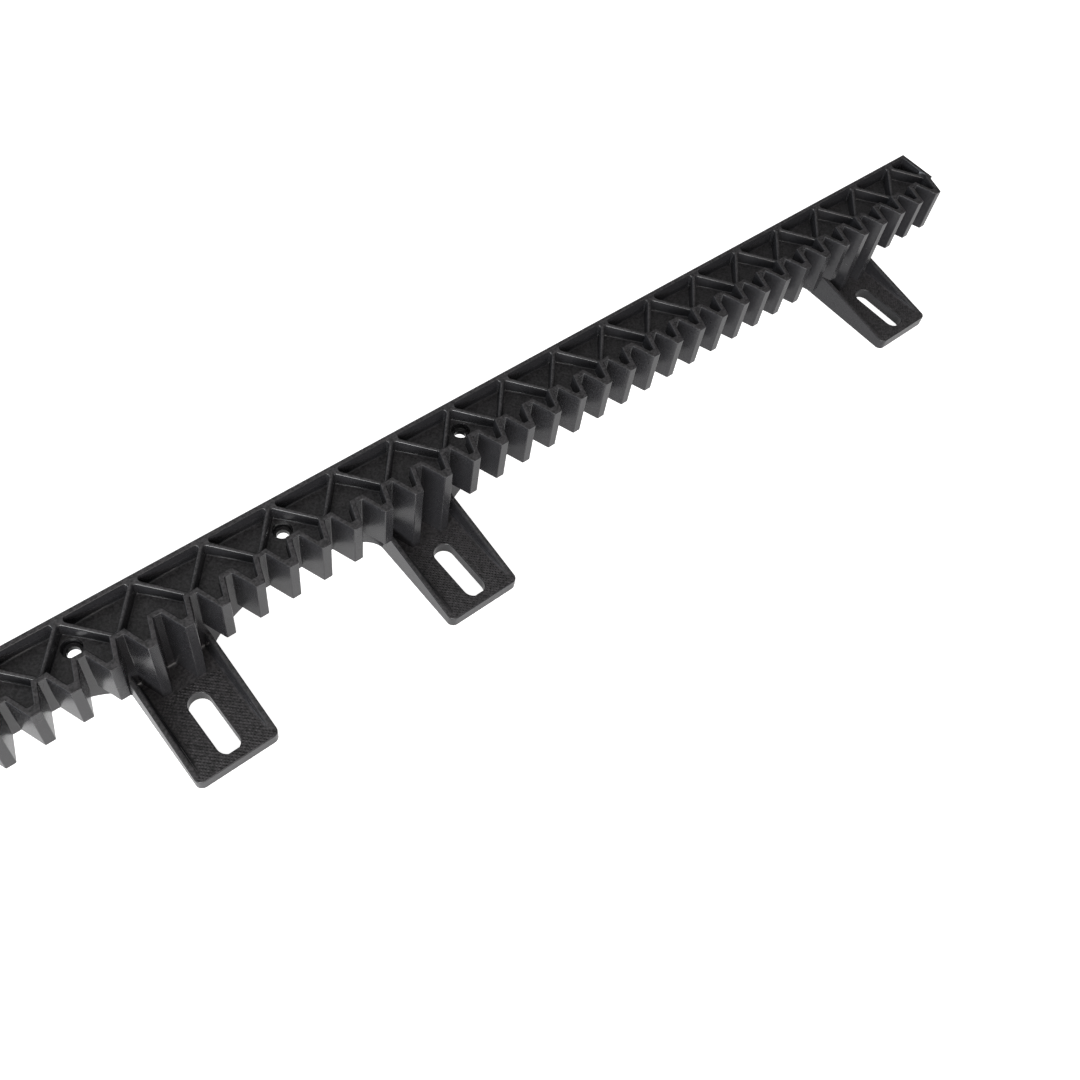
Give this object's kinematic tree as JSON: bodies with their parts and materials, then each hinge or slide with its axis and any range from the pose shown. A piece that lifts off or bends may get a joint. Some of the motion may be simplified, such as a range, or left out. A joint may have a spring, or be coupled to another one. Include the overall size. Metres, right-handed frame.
{
  "type": "sliding gate toothed rack",
  "caption": "Straight toothed rack in moulded nylon for a sliding gate drive, with a truss-ribbed back and slotted lugs that hold it clear of the gate.",
  "frame": {"origin": "middle of the rack's length, on the pitch line, in the plane of the gate face under the lugs", "axes": "+X along the rack; +Y from the teeth towards the back wall; +Z out of the gate, square to its face"},
  "size_m": [1.0054, 0.0593, 0.038],
  "materials": {
    "nylon": "black glass-filled nylon, finely textured on its top faces, semi-gloss on the tooth flanks and rib crowns"
  },
  "bodies": {
    "root": {"spine": "nylon", "back_wall": "nylon", "web": "nylon", "hole_bosses": "nylon", "truss_ribs": "nylon", "end_wall_left": "nylon", "end_wall_right": "nylon", "teeth": "nylon", "lug_teeth": "nylon", "lug_1": "nylon", "lug_2": "nylon", "lug_3": "nylon", "lug_4": "nylon", "lug_5": "nylon", "lug_6": "nylon"}
  },
  "joints": []
}
